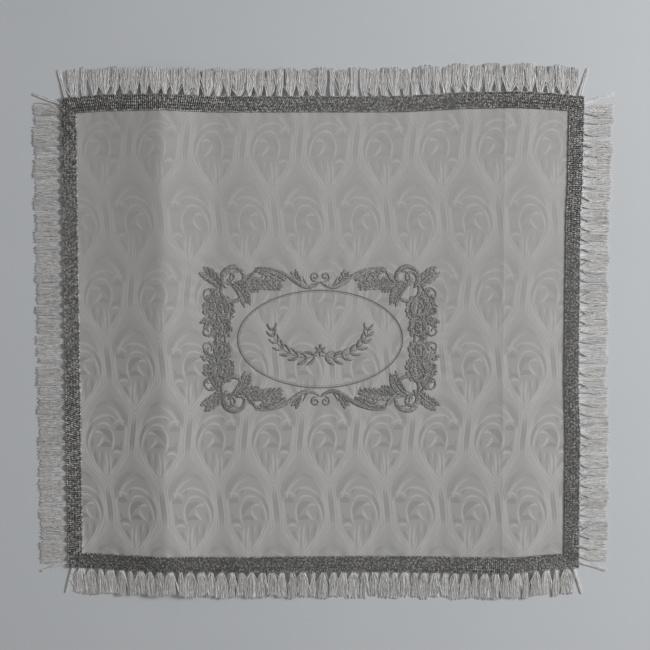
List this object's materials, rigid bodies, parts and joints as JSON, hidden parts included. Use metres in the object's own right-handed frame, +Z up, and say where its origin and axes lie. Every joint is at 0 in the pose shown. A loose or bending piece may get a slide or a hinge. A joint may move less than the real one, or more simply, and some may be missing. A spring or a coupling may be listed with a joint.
{
  "type": "lectern cover",
  "caption": "Flat white damask lectern cover with a silver braid border, brush fringe on all sides and a raised embroidered scroll frame round an oval.",
  "frame": {"origin": "on the surface the cover lies on, under the middle of its outline", "axes": "+Z up from the surface, +Y towards the cover's top edge as it is read, +X to the right"},
  "size_m": [0.625, 0.5824, 0.0161],
  "materials": {
    "damask": "woven satin damask with a floral figure",
    "braid": "interlaced silver metal thread",
    "fringe": "glossy cut yarn",
    "thread": "raised satin stitch in silver metal thread"
  },
  "bodies": {
    "root": {"cloth_panel": "damask", "braid_top": "braid", "braid_bottom": "braid", "braid_left": "braid", "braid_right": "braid", "fringe_top": "fringe", "fringe_bottom": "fringe", "fringe_left": "fringe", "fringe_right": "fringe", "embroidered_frame": "thread", "embroidered_oval": "thread"}
  },
  "joints": []
}
